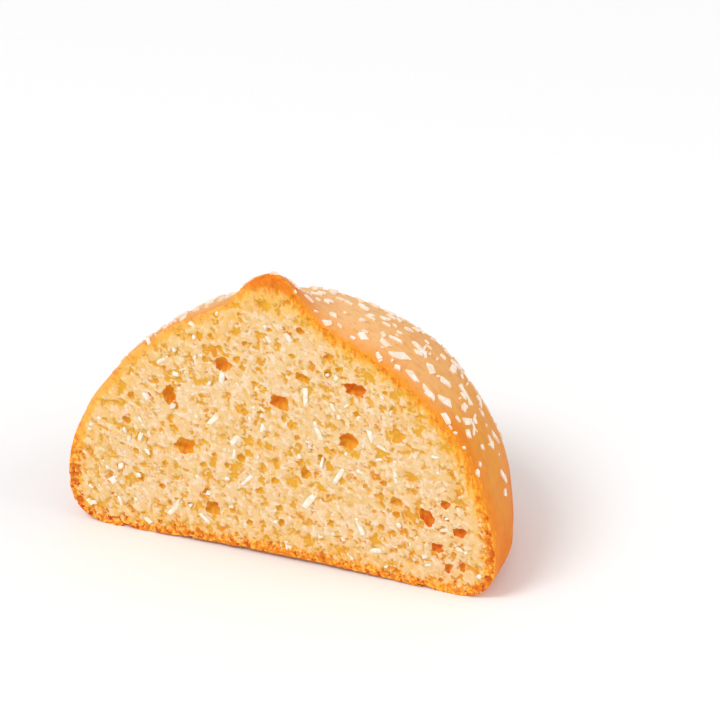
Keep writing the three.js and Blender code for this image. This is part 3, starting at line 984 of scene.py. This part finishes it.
# %% Paint the crust
def paint_crust(material):
    recipe, shader, place = start_finish(material)
    _, behind, height = recipe.split(place)
    drift = recipe.swing(recipe.noise(place, 9, 2.0), 4)
    level = recipe.add(height, drift)
    colour = recipe.blend(recipe.slope(level, 3 * MM, 17 * MM), srgb(224, 110, 0), srgb(226, 147, 50))
    colour = recipe.blend(recipe.slope(level, 16.5 * MM, 32 * MM), colour, srgb(242, 187, 128))
    colour = recipe.blend(recipe.slope(level, 32 * MM, 36.5 * MM), colour, srgb(226, 124, 66))
    base = recipe.slope(height, 0.6 * MM, 3.2 * MM, 0.75, 0.0)
    colour = recipe.blend(base, colour, srgb(216, 100, 8))
    from_cut = recipe.add(behind, recipe.times(drift, 0.6))
    near_cut = recipe.times(recipe.slope(from_cut, 0.6 * MM, 4.2 * MM, 1.0, 0.0),
                            recipe.slope(height, 18 * MM, 30 * MM, 0.9, 0.4))
    colour = recipe.blend(near_cut, colour, srgb(234, 126, 14))
    upright = recipe.node("ShaderNodeMapping", {"Vector": place, "Scale": (1, 1, 0.22)}).outputs[0]
    wrinkle = recipe.noise(upright, 0.9, 3.0, 0.6)
    colour = recipe.blend(recipe.slope(wrinkle, 0.48, 0.68, 0.0, 0.3), colour, srgb(214, 118, 28))
    mottle = recipe.slope(recipe.noise(place, 1.1, 4.0, 0.65), 0.35, 0.68)
    colour = recipe.blend(recipe.times(mottle, 0.16), colour, srgb(250, 198, 94))
    freckle = recipe.slope(recipe.noise(place, 0.55, 3.0, 0.7), 0.56, 0.7)
    colour = recipe.blend(recipe.times(freckle, 0.25), colour, srgb(212, 124, 34))
    teeth = recipe.noise(upright, 0.4, 3.0, 0.7)
    frayed = recipe.swing(teeth, 2.75)
    torn = recipe.slope(recipe.add(behind, frayed), 0.2 * MM, 1.2 * MM, 0.85, 0.0)
    golden = recipe.blend(recipe.slope(teeth, 0.35, 0.5), srgb(252, 170, 36), srgb(244, 144, 24))
    colour = recipe.blend(torn, colour, golden)
    recipe.feed(shader.inputs["Base Color"], colour)
    recipe.feed(shader.inputs["Roughness"], recipe.slope(mottle, 0.0, 1.0, 0.46, 0.58))
    shader.inputs["Specular IOR Level"].default_value = 0.07
    shader.inputs["Subsurface Weight"].default_value = 0.06
    shader.inputs["Subsurface Radius"].default_value = (1.0, 0.45, 0.2)
    shader.inputs["Subsurface Scale"].default_value = 1.2 * MM
    grain = recipe.add(recipe.noise(place, 0.5, 4.0, 0.7), recipe.noise(place, 1.6, 3.0, 0.6))
    roughen(recipe, shader, recipe.add(grain, wrinkle), 0.09, 0.5)


paint_crust(crust_finish)
print(crust_finish.name, "takes", len(crust_finish.node_tree.nodes), "nodes")

# %% [markdown]
# ## Finish of the crumb
#
# Creamy between the pits, yellow-orange in them and deep orange far inside a pore, because light that
# gets in there bounces off baked dough many times. The pits could be found again by noise, but it would
# have to match the relief, so the finish reads what was written down on the points. It is made in three
# steps: the open crumb, the rim that was baked by the crust's heat, and the specks that scorched.

# %% Colour the open crumb
def open_crumb(recipe, place, pit, below):
    """The colour between the rims, and how browned each place is inside a pore."""
    across, behind, height = recipe.split(place)
    crease = kept_value(recipe, "crease")
    patches = recipe.slope(recipe.noise(place, 4.0, 3.0), 0.35, 0.7)
    colour = recipe.blend(patches, srgb(243, 208, 158), srgb(239, 198, 133))
    # Painted shade: the creases between granules are coloured a darker gold.
    colour = recipe.blend(recipe.slope(crease, 0.3, 0.7, 0.0, 0.8), colour, srgb(243, 188, 92))
    # Painted highlights: these pale pinkish specks stand for light catching the tops of the clumps.
    specks = recipe.slope(recipe.noise(place, 0.9, 3.0, 0.6), 0.48, 0.62)
    colour = recipe.blend(recipe.times(specks, 0.7), colour, srgb(255, 230, 208))
    # Painted shade: these darker fine grains stand for the shading of a fine relief, in place of a
    # stronger bump.
    grains = recipe.slope(recipe.noise(place, 0.35, 3.0, 0.7), 0.54, 0.68)
    colour = recipe.blend(recipe.times(grains, 0.3), colour, srgb(228, 176, 98))
    golden = recipe.larger(recipe.slope(below, 0.8 * MM, 4.5 * MM, 0.4, 0.0),
                           recipe.slope(height, 32 * MM, 35.5 * MM, 0.0, 0.75))
    colour = recipe.blend(golden, colour, srgb(250, 188, 74))
    lower_right = recipe.times(recipe.slope(across, 8 * MM, 20 * MM),
                               recipe.slope(height, 8 * MM, 16 * MM, 0.5, 0.0))
    oranger = recipe.larger(recipe.slope(recipe.noise(place, 2.5, 2.0), 0.5, 0.7), lower_right)
    in_pit = recipe.blend(oranger, srgb(236, 173, 40), srgb(232, 144, 24))
    colour = recipe.blend(recipe.slope(pit, 0.15, 0.9, 0.0, 0.95), colour, in_pit)
    deep = recipe.slope(behind, 0.45 * MM, 1.5 * MM)
    colour = recipe.blend(deep, colour, srgb(255, 154, 26))
    browned = recipe.times(recipe.slope(pit, 1.1, 1.8),
                           recipe.slope(recipe.noise(place, 1.2, 2.0), 0.4, 0.6, 0.1, 0.65))
    return recipe.blend(browned, colour, srgb(232, 102, 32)), browned


# %% [markdown]
# ### The baked rim
#
# Right under the crust the crumb browns as well. The rim is broad on the right and low down, thin and
# smooth on the upper left, and frayed where it ends: into upright teeth high up, into grains low down.
# A gradient would end in a clean line, so noise is added to the depth below the crust before that is
# compared with the width of the rim.

# %% Colour the baked rim
def baked_rim(recipe, place, pit, below):
    """The rim's colour, how much of it shows, and how ragged its end is."""
    across, _, height = recipe.split(place)
    high_up = recipe.slope(height, 9 * MM, 16 * MM)
    high_left = recipe.times(high_up, recipe.slope(across, -6 * MM, 2 * MM, 1.0, 0.0))
    fray = recipe.slope(high_left, 0.0, 1.0, 4.5 * MM, 1.6 * MM)
    upright = recipe.node("ShaderNodeMapping", {"Vector": place, "Scale": (1, 1, 0.35)}).outputs[0]
    teeth = recipe.noise(upright, 0.55, 3.0, 0.65)
    granular = recipe.noise(place, 0.9, 4.0, 0.7)
    toothed = recipe.times(recipe.maths("SUBTRACT", teeth, granular), high_up)
    ragged = recipe.times(recipe.add(recipe.add(granular, toothed), -0.5), fray)
    band = recipe.times(recipe.slope(high_left, 0.0, 1.0, 1.4 * MM, 0.95 * MM),
                        recipe.slope(height, 30 * MM, 34 * MM, 1.0, 0.75))
    inward = recipe.maths("DIVIDE", recipe.add(below, ragged), band)
    streaked = recipe.blend(recipe.slope(teeth, 0.42, 0.58), srgb(240, 136, 18), srgb(252, 168, 36))
    outer = recipe.blend(high_up, srgb(240, 134, 14), streaked)
    outer = recipe.blend(high_left, outer, srgb(253, 184, 92))
    baked = recipe.blend(recipe.slope(inward, 0.2, 0.95), outer, srgb(255, 188, 62))
    low_rim = recipe.times(recipe.slope(high_up, 0.0, 1.0, 1.0, 0.2),
                           recipe.slope(high_left, 0.0, 1.0, 1.0, 0.6))
    blot = recipe.noise(place, 0.6, 4.0, 0.7)
    paler = recipe.times(recipe.slope(blot, 0.5, 0.58), low_rim)
    baked = recipe.blend(paler, baked, srgb(255, 196, 76))
    darker = recipe.times(recipe.slope(blot, 0.4, 0.47, 1.0, 0.0), low_rim)
    baked = recipe.blend(recipe.times(darker, 0.8), baked, srgb(236, 112, 8))
    baked = recipe.blend(recipe.times(recipe.times(pit, low_rim), 0.8), baked, srgb(218, 96, 8))
    return baked, recipe.slope(inward, 0.75, 1.15, 0.97, 0.0), ragged


# %% Scorch the specks
def scorched(recipe, place, toasted):
    """Red-brown specks where the rim was hottest: low on the left, at the foot and low on the right."""
    across, _, height = recipe.split(place)
    scorch = recipe.slope(recipe.noise(place, 0.7, 3.0, 0.6), 0.54, 0.61)
    slanting = recipe.add(height, recipe.times(across, 0.35))
    low_left = recipe.slope(slanting, -9 * MM, 5 * MM, 0.95, 0.0)
    low_down = recipe.slope(height, 1.0 * MM, 2.6 * MM, 0.8, 0.0)
    low_right = recipe.times(recipe.slope(across, 15 * MM, 22 * MM),
                             recipe.slope(height, 9 * MM, 13 * MM, 0.7, 0.0))
    darkest = recipe.times(recipe.larger(recipe.larger(low_left, low_down), low_right), toasted)
    return recipe.times(scorch, darkest)


# %% [markdown]
# ### The crumb's finish put together
#
# Open crumb is dull and lets light in below its surface, which softens its shadows. Where it is baked
# or browned, light hardly gets in. Without that the rim would glow, so the scattering is weaker there.

# %% Paint the crumb
def paint_crumb(material):
    recipe, shader, place = start_finish(material)
    height = recipe.split(place)[2]
    pit = kept_value(recipe, "pit")
    below = kept_value(recipe, "below_crust")
    colour, browned = open_crumb(recipe, place, pit, below)
    baked, toasted, ragged = baked_rim(recipe, place, pit, below)
    colour = recipe.blend(toasted, colour, baked)
    browned_tip = recipe.slope(recipe.add(height, ragged), 35.8 * MM, 37.0 * MM, 0.0, 0.85)
    colour = recipe.blend(browned_tip, colour, srgb(238, 126, 20))
    colour = recipe.blend(scorched(recipe, place, toasted), colour, srgb(190, 42, 2))
    recipe.feed(shader.inputs["Base Color"], colour)
    shader.inputs["Roughness"].default_value = 0.75
    shader.inputs["Specular IOR Level"].default_value = 0.25
    opaque = recipe.larger(toasted, browned)
    recipe.feed(shader.inputs["Subsurface Weight"], recipe.slope(opaque, 0.0, 1.0, 0.6, 0.15))
    shader.inputs["Subsurface Radius"].default_value = (1.0, 0.55, 0.12)
    shader.inputs["Subsurface Scale"].default_value = 0.8 * MM
    roughen(recipe, shader, recipe.noise(place, 0.5, 4.0, 0.65), 0.2, 0.5)


paint_crumb(crumb_finish)
print(crumb_finish.name, "takes", len(crumb_finish.node_tree.nodes), "nodes")

# %% [markdown]
# ## Finish of the coconut
#
# White with a drop of cream and waxy, and creamier on the crust, where it was in the oven's heat.
# Scattering below the surface would suit such thin slips, but where flakes cross it shows grey patches.
# So their shader has none, and the fibre is in the colour and a low bump.

# %% Paint the coconut
def paint_coconut(name, white, cream):
    material = bpy.data.materials.new(name)
    recipe, shader, place = start_finish(material)
    fibre = recipe.noise(place, 0.9, 3.0, 0.6)
    colour = recipe.blend(recipe.slope(fibre, 0.4, 0.65), white, cream)
    recipe.feed(shader.inputs["Base Color"], colour)
    shader.inputs["Roughness"].default_value = 0.5
    shader.inputs["Specular IOR Level"].default_value = 0.2
    roughen(recipe, shader, fibre, 0.05, 0.4)
    return material


for piece, name, white, cream in (
        (flakes_on_crust, "coconut_on_crust", srgb(250, 238, 221), srgb(242, 217, 190)),
        (strips_in_crumb, "coconut_in_crumb", srgb(255, 246, 232), srgb(254, 228, 196))):
    piece.data.materials.append(paint_coconut(name, white, cream))
    print(piece.name, "is finished as", name)

# %% [markdown]
# ## Put everything in place
#
# All three pieces were made round the cookie's own axis. Moving the objects would be quicker, but the
# patterns are read from the meshes' own place, so the meshes move to where the solid is. The pieces
# ride on the one body, and together they stand in for the one solid.

# %% Move the meshes and hand them over
slots = ((cookie, "crumb"), (flakes_on_crust, "coconut"), (strips_in_crumb, "coconut"))
for piece, slot_name in slots:
    piece.data.transform(Matrix.Translation(to_part((0, 0, 0))))
    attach(piece, "root")
    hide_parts(NODE)
    print(count(piece))
